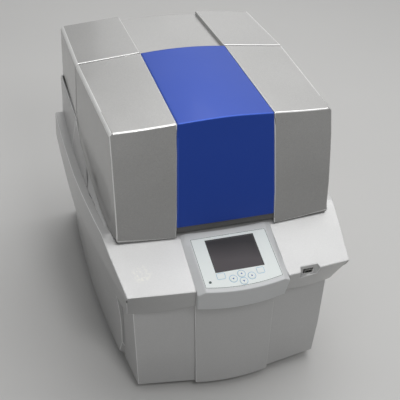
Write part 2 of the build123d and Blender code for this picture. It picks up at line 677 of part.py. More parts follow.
with BuildPart() as lamp:
    with Locations(tilted(*LAMP, 0.1 - WALL / 2)):
        Cylinder(LAMP_R, WALL + 1.0)
    with Locations(tilted(*LAMP, -WALL - 0.7)):
        Cylinder(LAMP_R + 1.4, 1.4)
lamp.part.label = "status_lamp"
export_step(lamp.part, "parts/status_lamp.step")

# Floor plate with vent slots, feet and rear panel
PLATE_T = 3.0
with BuildPart() as base_plate:
    with BuildSketch(Plane.XY.offset(BASE_Z - PLATE_T)):
        with BuildLine():
            Polyline((-147, -218.5), (-59, -233.5), (59, -233.5), (147, -218.5), (155, -150), (155, 209), (142, 209),
                     (142, 245), (-142, 245), (-142, 209), (-155, 209), (-155, -150), close=True)
        make_face()
        with Locations((0, -60)):
            with GridLocations(14, 60, 9, 2):
                Rectangle(5, 46, mode=Mode.SUBTRACT)
    extrude(amount=PLATE_T)
base_plate.part.label = "base_plate"
export_step(base_plate.part, "parts/base_plate.step")

FOOT_H = BASE_Z - PLATE_T
for name, x, y in (("foot_front_left", -118, -188), ("foot_front_right", 118, -188),
                   ("foot_rear_left", -124, 196), ("foot_rear_right", 124, 196)):
    with BuildPart() as foot:
        with Locations((x, y, 0)):
            Cone(12, 14, FOOT_H, align=(Align.CENTER, Align.CENTER, Align.MIN))
    foot.part.label = name
    export_step(foot.part, f"parts/{name}.step")

REAR_T = HOUSE_END_Y - BODY_END_Y
INLET = (-104.0, 62.0)
SWITCH = (-62.0, 62.0)
LAN = (-104.0, 120.0)
FAN = (62.0, 118.0)
FAN_R = 38.0
FAN_W = 2 * FAN_R + 4
FAN_PITCH = FAN_W - 8.5
TIP_GAP = 2.5
rear_outline = base_section(BODY_END_Y, 1.2, 1.2, BASE_Z, REAR_EDGE, REAR_EASE)
with BuildPart() as rear_panel:
    extrude(rear_outline, amount=-REAR_T, dir=(0, -1, 0))
    with Locations((INLET[0], BODY_END_Y, INLET[1])):
        Box(28, 20, 48 - 20, mode=Mode.SUBTRACT)
    with Locations((SWITCH[0], BODY_END_Y, SWITCH[1])):
        Box(20, 20, 28, mode=Mode.SUBTRACT)
    with Locations((LAN[0], BODY_END_Y, LAN[1])):
        Box(17, 20, 14, mode=Mode.SUBTRACT)
    with BuildSketch(Plane.XZ.offset(-BODY_END_Y)):
        with Locations((FAN[0], FAN[1])):
            Circle(FAN_R)
        with Locations((0, 205)):
            with GridLocations(11, 1, 20, 1):
                Rectangle(4.4, 34)
    extrude(amount=-REAR_T - 1, mode=Mode.SUBTRACT)
rear_panel.part.label = "rear_panel"
export_step(rear_panel.part, "parts/rear_panel.step")

# Mains inlet with three blades in its socket
with BuildPart() as power_inlet:
    with Locations((INLET[0], BODY_END_Y - 9, INLET[1])):
        Box(27, 18 + 2 * REAR_T, 27)
    with Locations((INLET[0], HOUSE_END_Y + 1, INLET[1])):
        Box(32, 2, 32)
    with Locations((INLET[0], HOUSE_END_Y + 2 - 9, INLET[1])):
        Box(22.5, 18, 16, mode=Mode.SUBTRACT)
    with Locations((INLET[0] - 6, HOUSE_END_Y - 9.5, INLET[1] - 1.5), (INLET[0], HOUSE_END_Y - 9.5, INLET[1] + 2),
                   (INLET[0] + 6, HOUSE_END_Y - 9.5, INLET[1] - 1.5)):
        Box(2, 14, 4)
power_inlet.part.label = "power_inlet"
export_step(power_inlet.part, "parts/power_inlet.step")

# Mains switch: bezel and rocker
ROCK = 7.0
ROCKER_Y = HOUSE_END_Y - 1.0
STUB_R = 1.2
with BuildPart() as switch_bezel:
    with Locations((SWITCH[0], BODY_END_Y - 9, SWITCH[1])):
        Box(19, 18 + 2 * REAR_T, 27)
    with Locations((SWITCH[0], HOUSE_END_Y + 0.75, SWITCH[1])):
        Box(23, 1.5, 31)
    with Locations((SWITCH[0], HOUSE_END_Y + 1.5 - 8, SWITCH[1])):
        Box(14.6, 16, 23, mode=Mode.SUBTRACT)
    with Locations(Location((SWITCH[0], ROCKER_Y, SWITCH[1]), (0, 90, 0))):
        Cylinder(STUB_R + PIN_FIT, 16.8, mode=Mode.SUBTRACT)
switch_bezel.part.label = "switch_bezel"
export_step(switch_bezel.part, "parts/switch_bezel.step")
with BuildPart() as rocker:
    with BuildSketch(Plane.YZ.offset(SWITCH[0] - 5.5)):
        with BuildLine():
            Polyline((-5, -4), (-3, -10.4), (2.6, -10.4), (1.8, 0), (2.6, 10.4), (-3, 10.4), (-5, 4), close=True)
        make_face()
    extrude(amount=11)
with BuildPart() as switch_rocker:
    with Locations(Location((0, ROCKER_Y, SWITCH[1]), (-ROCK, 0, 0))):
        add(rocker.part)
    with Locations(Location((SWITCH[0], ROCKER_Y, SWITCH[1]), (0, 90, 0))):
        Cylinder(STUB_R, 16.2)
switch_rocker.part.label = "switch_rocker"
export_step(switch_rocker.part, "parts/switch_rocker.step")

# Network socket
with BuildPart() as network_port:
    with Locations((LAN[0], BODY_END_Y - 6, LAN[1])):
        Box(16.4, 12 + 2 * REAR_T, 13.4)
    with Locations((LAN[0], HOUSE_END_Y - 4, LAN[1] + 0.6)):
        Box(12, 14, 8, mode=Mode.SUBTRACT)
    with Locations((LAN[0], HOUSE_END_Y - 4, LAN[1] - 4.4)):
        Box(6, 14, 2.4, mode=Mode.SUBTRACT)
network_port.part.label = "network_port"
export_step(network_port.part, "parts/network_port.step")

# Cooling fan: frame with struts and axle, rotor
FAN_T = 25.0
AXLE_R = 2.0
HUB_R = 16.0
BLADE_TIP = FAN_R - TIP_GAP
with BuildPart() as fan_frame:
    with BuildSketch(Plane.XZ.offset(-BODY_END_Y)):
        with Locations(FAN):
            RectangleRounded(FAN_W, FAN_W, 4)
            Circle(FAN_R, mode=Mode.SUBTRACT)
            with GridLocations(FAN_PITCH, FAN_PITCH, 2, 2):
                Circle(2.1, mode=Mode.SUBTRACT)
    extrude(amount=FAN_T)
    with BuildSketch(Plane.XZ.offset(-BODY_END_Y + FAN_T - 3)):
        with Locations(FAN):
            Circle(HUB_R + 1)
            Rectangle(5, 2 * FAN_R + 2)
            Rectangle(2 * FAN_R + 2, 5)
    extrude(amount=3)
    with BuildSketch(Plane.XZ.offset(-BODY_END_Y + 6)):
        with Locations(FAN):
            Circle(AXLE_R)
    extrude(amount=FAN_T - 8)
fan_frame.part.label = "fan_frame"
export_step(fan_frame.part, "parts/fan_frame.step")
with BuildPart() as fan_rotor:
    with BuildSketch(Plane.XZ.offset(-BODY_END_Y + 2)):
        with Locations(FAN):
            Circle(HUB_R)
    extrude(amount=19)
    for k in range(7):
        with Locations(Location((FAN[0], BODY_END_Y - 11.5, FAN[1]), (0, k * 360 / 7, 0))):
            with Locations(Location(((HUB_R - 0.5 + BLADE_TIP) / 2, 0, 0), (40, 0, 0))):
                Box(BLADE_TIP - HUB_R + 0.5, 2, 17)
    with BuildSketch(Plane.XZ.offset(-BODY_END_Y + 4)):
        with Locations(FAN):
            Circle(AXLE_R + PIN_FIT)
    extrude(amount=17.5, mode=Mode.SUBTRACT)
fan_rotor.part.label = "fan_rotor"
export_step(fan_rotor.part, "parts/fan_rotor.step")

# Wire guard over the fan's grille
GUARD_Y = 255.45
WIRE = 1.8
with BuildPart() as fan_guard:
    with BuildSketch(Plane.XZ.offset(-GUARD_Y)):
        with Locations(FAN):
            for ring in (FAN_R + 3, FAN_R - 11, FAN_R - 25):
                Circle(ring + WIRE / 2)
                Circle(ring - WIRE / 2, mode=Mode.SUBTRACT)
            Rectangle(FAN_PITCH * math.sqrt(2), WIRE, rotation=45)
            Rectangle(FAN_PITCH * math.sqrt(2), WIRE, rotation=-45)
            with GridLocations(FAN_PITCH, FAN_PITCH, 2, 2):
                Circle(4)
    extrude(amount=WIRE)
    with BuildSketch(Plane.XZ.offset(-HOUSE_END_Y)):
        with Locations(FAN):
            with GridLocations(FAN_PITCH, FAN_PITCH, 2, 2):
                Circle(3)
    extrude(amount=-(GUARD_Y - HOUSE_END_Y))
fan_guard.part.label = "fan_guard"
export_step(fan_guard.part, "parts/fan_guard.step")

# Boards and supply on the floor plate
BOARD = (44.0, 48.0)
with BuildPart() as power_supply:
    with Locations((-96, 150, BASE_Z + 24)):
        Box(84, 130, 48)
    with BuildSketch(Plane.XY.offset(BASE_Z + 48)):
        with Locations((-96, 150)):
            with GridLocations(12, 24, 5, 4):
                Rectangle(4, 18)
    extrude(amount=-6, mode=Mode.SUBTRACT)
power_supply.part.label = "power_supply"
export_step(power_supply.part, "parts/power_supply.step")
with BuildPart() as main_board:
    with Locations((BOARD[0], BOARD[1], BASE_Z + 8.8)):
        Box(170, 120, 1.6)
    with Locations((BOARD[0], BOARD[1], BASE_Z + 4)):
        with GridLocations(158, 108, 2, 2):
            Cylinder(3.5, 8)
    with Locations((BOARD[0] - 25, BOARD[1], BASE_Z + 11.1)):
        Box(36, 36, 3)
    with Locations((BOARD[0] + 42, BOARD[1] + 26, BASE_Z + 12.6)):
        with GridLocations(16, 1, 4, 1):
            Box(9, 40, 6)
    with Locations((BOARD[0] + 40, BOARD[1] - 34, BASE_Z + 14.6)):
        with GridLocations(18, 14, 3, 2):
            Cylinder(5, 10)
main_board.part.label = "main_board"
export_step(main_board.part, "parts/main_board.step")

# Work deck below the chamber opening, seal round it and bulkhead behind it
DECK_T = 3.0
WORK_Z = LEDGE_Z - WALL
with BuildPart() as work_deck:
    with Locations((0, (CHAMBER[2] + CHAMBER[3]) / 2, WORK_Z - DECK_T / 2)):
        Box(2 * CHAMBER[1] + 12, CHAMBER[3] - CHAMBER[2] + 12, DECK_T)
    with Locations((0, -62, WORK_Z)):
        Cylinder(34, 20, mode=Mode.SUBTRACT)
work_deck.part.label = "work_deck"
export_step(work_deck.part, "parts/work_deck.step")
with BuildPart() as chamber_seal:
    with BuildSketch(Plane.XY.offset(LEDGE_Z)):
        with Locations((0, (CHAMBER[2] + CHAMBER[3]) / 2)):
            RectangleRounded(2 * CHAMBER[1] + 10, CHAMBER[3] - CHAMBER[2] + 8, 6)
            Rectangle(2 * CHAMBER[1] + 2, CHAMBER[3] - CHAMBER[2] + 1, mode=Mode.SUBTRACT)
    extrude(amount=2.5)
chamber_seal.part.label = "chamber_seal"
export_step(chamber_seal.part, "parts/chamber_seal.step")
with BuildPart() as bulkhead:
    with BuildSketch(Plane.XZ.offset(-91)):
        with Locations((0, (LEDGE_Z + 402) / 2)):
            Rectangle(2 * 168, 402 - LEDGE_Z)
        for s in (-1, 1):
            with Locations((s * ARM_X, 366)):
                Rectangle(18, 84, mode=Mode.SUBTRACT)
    extrude(amount=-3)
bulkhead.part.label = "bulkhead"
export_step(bulkhead.part, "parts/bulkhead.step")

# Reaction block with its plate seat, the plate frame hinged behind it
BLOCK_Y = -62.0
BLOCK_TOP = 268.0
SEAT_DEPTH = 6.0
FRAME_PIVOT = (BLOCK_Y + 43, BLOCK_TOP + 4.5)
SMALL_PIN_R = 1.5
with BuildPart() as heating_block:
    with Locations((0, BLOCK_Y, (WORK_Z + BLOCK_TOP) / 2)):
        Box(124, 92, BLOCK_TOP - WORK_Z)
    with BuildSketch(Plane.XY.offset(BLOCK_TOP)):
        with Locations((0, BLOCK_Y - 2)):
            RectangleRounded(98, 44, 3)
    extrude(amount=-SEAT_DEPTH, mode=Mode.SUBTRACT)
    with Locations((0, BLOCK_Y + 43, BLOCK_TOP + 3)):
        with GridLocations(100, 1, 2, 1):
            Box(8, 6, 9)
    with Locations(Location((0, *FRAME_PIVOT), (0, 90, 0))):
        Cylinder(SMALL_PIN_R + PIN_FIT, 120, mode=Mode.SUBTRACT)
heating_block.part.label = "heating_block"
export_step(heating_block.part, "parts/heating_block.step")
with BuildPart() as plate_frame:
    with BuildSketch(Plane.XY.offset(BLOCK_TOP + 0.4)):
        with Locations((0, BLOCK_Y - 4)):
            RectangleRounded(118, 74, 4)
            with Locations((0, 2)):
                RectangleRounded(106, 50, 3, mode=Mode.SUBTRACT)
        with Locations((0, BLOCK_Y + 36.5)):
            Rectangle(80, 12)
        with Locations((0, BLOCK_Y - 43)):
            Rectangle(24, 8)
    extrude(amount=4)
    with Locations(Location((0, *FRAME_PIVOT), (0, 90, 0))):
        Cylinder(3.2, 88)
        Cylinder(SMALL_PIN_R, 107)
plate_frame.part.label = "plate_frame"
export_step(plate_frame.part, "parts/plate_frame.step")

# Dispensing head on two posts, reagent cartridge in its slot, cover hinged at the back
HEAD_Z = 300.0
HEAD_TOP = 344.0
COVER_PIVOT = (62.5, HEAD_TOP + 3.8)
with BuildPart() as dispenser:
    with Locations((0, 36, (HEAD_Z + HEAD_TOP) / 2)):
        Box(150, 60, HEAD_TOP - HEAD_Z)
    with Locations((0, 36, HEAD_TOP - 12)):
        Box(84, 34, 24.01, mode=Mode.SUBTRACT)
    with Locations((-66, 36, (WORK_Z + HEAD_Z) / 2), (66, 36, (WORK_Z + HEAD_Z) / 2)):
        Box(14, 40, HEAD_Z - WORK_Z)
    with Locations((0, 36, HEAD_Z - 4)):
        with GridLocations(12, 1, 6, 1):
            Cone(1.2, 3.0, 8)
    with Locations((0, 62.5, HEAD_TOP + 3.5)):
        with GridLocations(128, 1, 2, 1):
            Box(8, 7, 7)
    with Locations(Location((0, *COVER_PIVOT), (0, 90, 0))):
        Cylinder(SMALL_PIN_R + PIN_FIT, 140, mode=Mode.SUBTRACT)
dispenser.part.label = "dispenser"
export_step(dispenser.part, "parts/dispenser.step")
with BuildPart() as cartridge:
    with Locations((0, 36, HEAD_TOP - 24 + 11)):
        Box(83, 33, 22)
    with Locations((0, 36, HEAD_TOP - 1.6)):
        with GridLocations(12, 1, 6, 1):
            Cylinder(4.6, 1.6)
cartridge.part.label = "cartridge"
export_step(cartridge.part, "parts/cartridge.step")
with BuildPart() as cartridge_cover:
    with Locations((0, 33, HEAD_TOP + 2.3)):
        Box(112, 50, 3)
    with Locations(Location((0, COVER_PIVOT[0], COVER_PIVOT[1]), (0, 90, 0))):
        Cylinder(3.0, 116)
        Cylinder(SMALL_PIN_R, 135)
    with Locations((0, 58.5, HEAD_TOP + 2.6)):
        Box(112, 5, 2.4)
cartridge_cover.part.label = "cartridge_cover"
export_step(cartridge_cover.part, "parts/cartridge_cover.step")

# Camera below the work deck, looking up through its opening
with BuildPart() as camera:
    with Locations((0, BLOCK_Y, (BASE_Z + 24 + 170) / 2)):
        Box(70, 60, 170 - BASE_Z - 24)
    with Locations((0, BLOCK_Y, 170)):
        Cylinder(26, 50, align=(Align.CENTER, Align.CENTER, Align.MIN))
    with Locations((0, BLOCK_Y, 220)):
        Cylinder(22, 12, align=(Align.CENTER, Align.CENTER, Align.MAX), mode=Mode.SUBTRACT)
    with Locations((0, BLOCK_Y, BASE_Z + 12)):
        with GridLocations(54, 44, 2, 2):
            Cylinder(4, 24)
camera.part.label = "camera_unit"
export_step(camera.part, "parts/camera_unit.step")
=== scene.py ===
"""A benchtop sequencer with its finishes and small trim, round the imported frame."""

import json
import math

import bmesh
import bpy
from bpy.props import FloatProperty, FloatVectorProperty, PointerProperty
from mathutils import Matrix, Vector
from mathutils.bvhtree import BVHTree
from mathutils.kdtree import KDTree


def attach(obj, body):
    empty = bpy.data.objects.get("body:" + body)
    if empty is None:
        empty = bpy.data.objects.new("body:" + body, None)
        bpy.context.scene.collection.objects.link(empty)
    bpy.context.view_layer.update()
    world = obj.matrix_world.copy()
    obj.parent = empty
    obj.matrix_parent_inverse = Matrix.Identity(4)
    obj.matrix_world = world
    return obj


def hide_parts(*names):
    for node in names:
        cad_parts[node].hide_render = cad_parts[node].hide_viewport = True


bl_info = {
    "name": "Benchtop Sequencer",
    "version": (1, 0, 0),
    "blender": (4, 5, 0),
    "location": "3D View > Sidebar > Sequencer",
    "description": "Finishes and trim for a benchtop sequencer, with its studio",
    "category": "Object",
}

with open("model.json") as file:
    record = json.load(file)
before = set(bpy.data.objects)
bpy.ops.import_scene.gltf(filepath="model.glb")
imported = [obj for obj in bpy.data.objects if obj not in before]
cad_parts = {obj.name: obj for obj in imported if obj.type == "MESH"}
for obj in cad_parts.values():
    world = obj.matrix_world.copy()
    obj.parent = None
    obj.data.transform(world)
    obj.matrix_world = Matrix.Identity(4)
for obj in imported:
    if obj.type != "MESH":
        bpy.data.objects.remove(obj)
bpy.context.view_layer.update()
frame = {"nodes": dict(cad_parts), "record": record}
BODY = {node: body for body, nodes in frame["record"]["behaviour"]["bodies"].items() for node in nodes}
MM = 0.001

# Places on the object are in millimetres, with the same values as the solids.

# Console plane: a line across it, its rise over its depth in plan, and its own depth over that in plan
CON_Y, CON_Z, CON_SLOPE = -221.7, 226.0, 0.292
SLANT = math.sqrt(1 + CON_SLOPE**2)

# Overlay: half widths at its top and its lower corners, with the depths of both and of its lowest point
OVERLAY_TOP_X, OVERLAY_CORNER_X = 60.5, 61.0
OVERLAY_TOP_Y, OVERLAY_CORNER_Y, OVERLAY_LOW_Y = -160.5, -243.3, -249.1
SHEET = 0.4
BORDER_OUT, BORDER_IN = 0.5, 1.15

# Display: the glass, how far its mask laps over it, the mask's width on each side, and its corners and height
SCREEN_X, SCREEN_Y0, SCREEN_Y1 = 39.0, -221.7, -165.9
MASK_LAP = 0.2
MASK_LEFT, MASK_RIGHT, MASK_LOW, MASK_TOP = 1.7, 2.0, 0.7, 2.6
MASK_CORNER, WINDOW_CORNER, MASK_INK = 0.3, 0.6, 0.05

# Round keys: their centres, the way their arrows point in degrees, and their rings' margins
KEYS = {
    "key_left": (-15.4, -235.2),
    "key_up": (-1.0, -229.4),
    "key_down": (-1.0, -241.4),
    "key_right": (13.6, -235.2),
}
ARROW_TURN = {"key_right": 0, "key_up": 90, "key_left": 180, "key_down": 270}
KEY_R, KEY_RISE, ARROW_R = 5.6, 0.9, 1.9
RING_OUT, RING_IN = 0.75, 0.12

# Soft keys: centre, width and depth, then the margin and corner radius of the outline's two sides
SOFT_KEYS = {"key_soft_left": (-32.5, -227.9, 12.0, 9.4), "key_soft_right": (29.5, -228.9, 10.8, 9.4)}
OUTLINE_OUT, OUTLINE_IN = (0.75, 2.4), (0.15, 1.8)

# Ink: how far it stands up, and how deep it is set into the overlay
INK, INK_ROOT = 0.04, 0.02

# Port: its middle, how far back its flange is, and its tongue's half width, underside and top
PORT_X, PORT_Y, PORT_Z = 110.0, -229.3, 205.4
FLANGE, TONGUE_X, TONGUE_LOW, TONGUE_TOP = 2.0, 5.4, 0.35, 1.75

# Mouldings: vertices closer than WELD are one, and faces within FLAT degrees of each other too
WELD, FLAT = 0.3, 0.3
# An edge that turns outwards by more than OPEN_TURN degrees is open; slivers within NEAR of one are joined
OPEN_TURN, NEAR = 28.0, 9.0
# An open edge of this length and with this room beside it gets the broad round, up to a share of that room
BROAD_LENGTH, BROAD_ROOM, ROOM_SHARE = 2.5, 1.9, 0.42
# The other open edges get this radius
RIM_RADIUS = 0.25
ROUND_SEGMENTS = 4
# Points are taken this close together along open edges, and along the broad ones
OPEN_PITCH, BROAD_PITCH = 3.0, 0.8
# A vertex further off the shape than STRAY radii goes back to it, or to its corner when it is a notch away
STRAY, NOTCH = 0.35, (2.0, 6.0)
# A painted highlight covers the faces within this many radii of a broad round's edge
PAINTED_HIGHLIGHT_REACH = 0.8

# A mark on the deck where the lacquer is rubbed, in metres, and its inner and outer reach
RUB_PLACE, RUB_REACH = (-0.1454, -0.2004, 0.2281), (0.003, 0.017)
RUB_COLOUR = (0.72, 0.71, 0.62)

# Studio: the room's light, the backdrop, the floor's shade in bounced light, and where it fades, in metres
ROOM_LIGHT = (0.202, 0.204, 0.209)
BACKDROP = (0.50, 0.50, 0.495)
BOUNCE_SHADE = 0.62
FADE_FROM, FADE_TO, FADE_CURVE = 0.9, 3.2, 1.5
FLOOR_HALF = 6.0

# Camera: its place in millimetres, and its turn, pitch and roll in degrees
CAMERA_PLACE = (-416.02, -1094.55, 1085.07)
CAMERA_ANGLES = (21.419, 37.414, -5.139)
SENSOR = 36.0


# Shader building


class Term:
    """A shader socket that can stand in a Python sum."""

    def __init__(self, shader, socket):
        self.shader, self.socket = shader, socket

    def _math(self, operation, a, b):
        return self.shader.add("ShaderNodeMath", {"operation": operation}, {0: a, 1: b})

    def __add__(self, other):
        return self._math("ADD", self, other)

    __radd__ = __add__

    def __sub__(self, other):
        return self._math("SUBTRACT", self, other)

    def __rsub__(self, other):
        return self._math("SUBTRACT", other, self)

    def __mul__(self, other):
        return self._math("MULTIPLY", self, other)

    def __pow__(self, other):
        return self._math("POWER", self, other)

    def above(self, edge):
        """One where the term is greater than the edge, and nought elsewhere."""
        return self._math("GREATER_THAN", self, edge)

    def clamped(self):
        """The term held between nought and one."""
        return self.shader.add("ShaderNodeClamp", {}, {0: self})


class Finish:
    """One procedural material and the nodes that make it."""

    def __init__(self, name, **constants):
        self.material = bpy.data.materials.new(name)
        self.material.use_nodes = True
        self.tree = self.material.node_tree
        self.surface = self.tree.nodes["Principled BSDF"]
        for socket, value in constants.items():
            self.surface.inputs[socket.replace("_", " ")].default_value = value

    def add(self, kind, settings, values, out=0):
        """A new node with its settings and its inputs, as the term of one of its outputs."""
        node = self.tree.nodes.new(kind)
        for key, value in settings.items():
            setattr(node, key, value)
        for key, value in values.items():
            if isinstance(value, Term):
                self.tree.links.new(value.socket, node.inputs[key])
            else:
                node.inputs[key].default_value = value
        return Term(self, node.outputs[out])

    def place(self):
        """The place on the object, in metres."""
        return self.add("ShaderNodeTexCoord", {}, {}, "Object")

    def axis(self, name, place=None):
        """One coordinate of a place."""
        return self.add("ShaderNodeSeparateXYZ", {}, {"Vector": place or self.place()}, name)

    def distance(self, centre):
        """How far the place is from a centre."""
        values = {0: self.place(), 1: centre}
        return self.add("ShaderNodeVectorMath", {"operation": "DISTANCE"}, values, "Value")

    def noise(self, scale, detail=2.0, rough=0.5, stretch=None):
        """Soft noise, stretched along the axes where asked."""
        where = self.place()
        if stretch:
            where = self.add("ShaderNodeMapping", {}, {"Vector": where, "Scale": stretch})
        values = {"Vector": where, "Scale": scale, "Detail": detail, "Roughness": rough}
        return self.add("ShaderNodeTexNoise", {}, values)

    def flakes(self, scale):
        """A number for each flake in the lacquer."""
        cells = self.add("ShaderNodeTexVoronoi", {}, {"Vector": self.place(), "Scale": scale}, "Color")
        return self.add("ShaderNodeSeparateColor", {}, {"Color": cells}, "Red")

    def ramp(self, term, low, high, low_at=0.0, high_at=1.0):
        """A number moved from one span to another, held at both ends."""
        values = {"Value": term, "From Min": low_at, "From Max": high_at, "To Min": low, "To Max": high}
        return self.add("ShaderNodeMapRange", {}, values)

    def blend(self, factor, first, second):
        """A colour between two, each a term or plain red, green and blue."""
        first, second = ((*colour, 1) if isinstance(colour, tuple) else colour for colour in (first, second))
        return self.add("ShaderNodeMix", {"data_type": "RGBA"}, {"Factor": factor, 6: first, 7: second}, 2)

    def seen(self):
        """One on rays from the camera, and on those it sees by mirror or through glass."""
        names = ("Is Camera Ray", "Is Glossy Ray", "Is Transmission Ray")
        camera, mirror, glass = (self.add("ShaderNodeLightPath", {}, {}, name) for name in names)
        return (camera + mirror + glass).clamped()

    def feed(self, socket, term):
        """Link a term to the surface."""
        self.tree.links.new(term.socket, self.surface.inputs[socket])

    def bump(self, height, strength, distance):
        """Raise the surface by a term, with the distance in metres."""
        values = {"Height": height, "Strength": strength, "Distance": distance}
        self.feed("Normal", self.add("ShaderNodeBump", {}, values))


class Sky(Finish):
    """The background and its nodes."""

    def __init__(self, world):
        self.tree = world.node_tree
        self.surface = self.tree.nodes["Background"]
        self.surface.inputs["Strength"].default_value = 1.0


def shade(colour, factor):
    """A colour made lighter or darker."""
    return tuple(min(1.0, c * factor) for c in colour)


def flake_paint(name, colour, painted_highlight, *, spread, metallic, roughness, grain, coat, rubbed=False):
    """Metallic lacquer: fine flakes, faint clouding, an orange-peel skin, and edges made brighter by a painted
    highlight.
    """
    finish = Finish(name, IOR=1.5, Coat_Roughness=0.12)
    flake = finish.flakes(grain)
    cloud = finish.noise(9.0, 3.0)
    grit = finish.noise(grain * 0.3, 3.0, 0.7)
    mix = (flake * 0.45 + grit * 0.75 + cloud * 0.25 - 0.22).clamped()
    lacquer = finish.blend(mix, shade(colour, 1 - spread * 0.5), shade(colour, 1 + spread * 0.5))
    if rubbed:
        near = finish.ramp(finish.distance(RUB_PLACE), 1.0, 0.0, *RUB_REACH)
        patchy = finish.ramp(finish.noise(220.0, 3.0), 0.0, 1.0, 0.46, 0.62)
        lacquer = finish.blend((near * patchy).clamped() * 0.7, lacquer, RUB_COLOUR)
    # Faces marked along the broad rounds take the painted highlight colour
    edge = finish.add("ShaderNodeAttribute", {"attribute_name": "painted_highlight"}, {}, "Fac")
    finish.feed("Base Color", finish.blend((edge * (0.75 + cloud * 0.3)).clamped(), lacquer, painted_highlight))
    finish.feed("Metallic", finish.ramp(flake, metallic * 0.7, metallic))
    finish.feed("Roughness", finish.ramp(cloud, roughness - 0.04, roughness + 0.05, 0.3, 0.7))
    finish.feed("Coat Weight", finish.ramp(cloud, coat * 0.8, coat, 0.3, 0.7))
    finish.bump(finish.noise(900.0, 2.0), 0.12, 0.0002)
    return finish.material


def moulded(name, colour, roughness, grain=1400.0, depth=0.25, variation=0.06):
    """Moulded plastic with a fine spark-eroded texture."""
    finish = Finish(name, IOR=1.46)
    cloud = finish.noise(14.0, 3.0)
    finish.feed("Base Color", finish.blend(cloud, shade(colour, 1 - variation), shade(colour, 1 + variation)))
    finish.feed("Roughness", finish.ramp(cloud, roughness - 0.05, roughness + 0.05, 0.3, 0.7))
    finish.bump(finish.noise(grain, 3.0), depth, 0.0002)
    return finish.material


def metal(name, colour, roughness, stretch=(1, 1, 1)):
    """Bare metal with a brushed or blasted grain."""
    finish = Finish(name, Metallic=1.0)
    grain = finish.noise(600.0, 3.0, 0.6, stretch)
    finish.feed("Base Color", finish.blend(grain, shade(colour, 0.9), shade(colour, 1.05)))
    finish.feed("Roughness", finish.ramp(grain, roughness - 0.08, roughness + 0.08, 0.3, 0.7))
    finish.bump(grain, 0.1, 0.0001)
    return finish.material


def display():
    """Dark display behind glass, with a painted reflection that makes it a little paler towards its lower edge.
    """
    glass = Finish("display_glass", IOR=1.4, Specular_IOR_Level=0.22)
    cloud = glass.noise(18.0, 2.0)
    across, along = glass.axis("X"), glass.axis("Y")
    # Painted reflection: the glass goes from near black to a paler mauve grey towards its lower edge
    painted_reflection = glass.ramp(along + across * 0.15 + cloud * 0.012, 1.0, 0.0, -0.2, -0.17)
    glass.feed("Base Color", glass.blend(painted_reflection, (0.020, 0.018, 0.023), (0.085, 0.074, 0.080)))
    glass.feed("Roughness", glass.ramp(cloud, 0.16, 0.24))
    return glass.material


def port_steel():
    """Bright steel shell, with its tongue and the flange behind it black."""
    finish = Finish("port_steel")
    place = finish.place()
    across, along, up = (finish.axis(name, place) for name in "XYZ")
    flange = along.above((PORT_Y + FLANGE) * MM)
    low = up.above((PORT_Z + TONGUE_LOW) * MM)
    high = 1 - up.above((PORT_Z + TONGUE_TOP) * MM)
    middle = (1 - across.above((PORT_X + TONGUE_X) * MM)) * across.above((PORT_X - TONGUE_X) * MM)
    black = (flange + low * high * middle).clamped()
    grain = finish.noise(900.0, 3.0)
    bright = finish.blend(grain, (0.60, 0.60, 0.58), (0.78, 0.78, 0.76))
    finish.feed("Base Color", finish.blend(black, bright, (0.006, 0.006, 0.007)))
    finish.feed("Metallic", 1 - black)
    finish.feed("Roughness", finish.ramp(grain, 0.22, 0.36, 0.3, 0.7))
    finish.bump(grain, 0.05, 0.0001)
    return finish.material


# Settings


class PaintSettings(bpy.types.PropertyGroup):
    """Colours of the housing."""

    silver: FloatVectorProperty(
        name="Silver", description="Lid sides and rear cover", subtype="COLOR", default=(0.385, 0.382, 0.375)
    )
    pearl: FloatVectorProperty(
        name="Pearl", description="Base, collar and front cover", subtype="COLOR", default=(0.535, 0.535, 0.532)
    )
    blue: FloatVectorProperty(
        name="Blue", description="Centre panel of the lid", subtype="COLOR", default=(0.008, 0.056, 0.39)
    )
    console: FloatVectorProperty(
        name="Console", description="Operator console", subtype="COLOR", default=(0.72, 0.73, 0.73)
    )
    overlay: FloatVectorProperty(
        name="Overlay", description="Membrane on the console", subtype="COLOR", default=(0.92, 0.97, 0.94)
    )


class StudioSettings(bpy.types.PropertyGroup):
    """Light and floor."""

    floor: FloatVectorProperty(
        name="Floor", description="Floor colour", subtype="COLOR", default=(0.68, 0.675, 0.66)
    )
    top_power: FloatProperty(
        name="Overhead light", description="Power of the overhead panel", default=22.0, min=0, unit="POWER"
    )
    back_power: FloatProperty(
        name="Back light", description="Power of the panel behind", default=6.0, min=0, unit="POWER"
    )
    front_power: FloatProperty(
        name="Front lamp", description="Power of the high lamp in front", default=7.0, min=0, unit="POWER"
    )
    fill_power: FloatProperty(
        name="Side fill", description="Power of the light from the left", default=2.0, min=0, unit="POWER"
    )
    lens: FloatProperty(
        name="Lens", description="Focal length on a 36 mm sensor", default=78.45, min=20, unit="CAMERA"
    )


# Finishes on the CAD nodes, and mouldings in their place


def dress(material, *nodes):
    """Give the CAD nodes this finish."""
    for node in nodes:
        cover(frame["nodes"][node].data, material)


def cover(mesh, material):
    """Put one material on every face."""
    mesh.materials.clear()
    mesh.materials.append(material)
    for face in mesh.polygons:
        face.material_index = 0


def is_open(edge):
    """Whether the surface turns outwards at an edge."""
    return edge.calc_face_angle_signed(0) > math.radians(OPEN_TURN)


def walk(edge, pitch):
    """Points along an edge, no more than a pitch apart, with both its ends."""
    start, end = (v.co for v in edge.verts)
    steps = 1 + int(edge.calc_length() / (pitch * MM))
    return [start.lerp(end, k / steps) for k in range(steps + 1)]


def tree_of(points):
    """A search tree of points."""
    tree = KDTree(len(points))
    for k, point in enumerate(points):
        tree.insert(point, k)
    tree.balance()
    return tree


def room(edge):
    """The narrower of the two faces beside an edge, measured away from it."""
    start, end = (v.co for v in edge.verts)
    along = (end - start).normalized()
    widths = []
    for face in edge.link_faces:
        spans = [(v.co - start) - along * (v.co - start).dot(along) for v in face.verts]
        widths.append(max(span.length for span in spans))
    return min(widths)


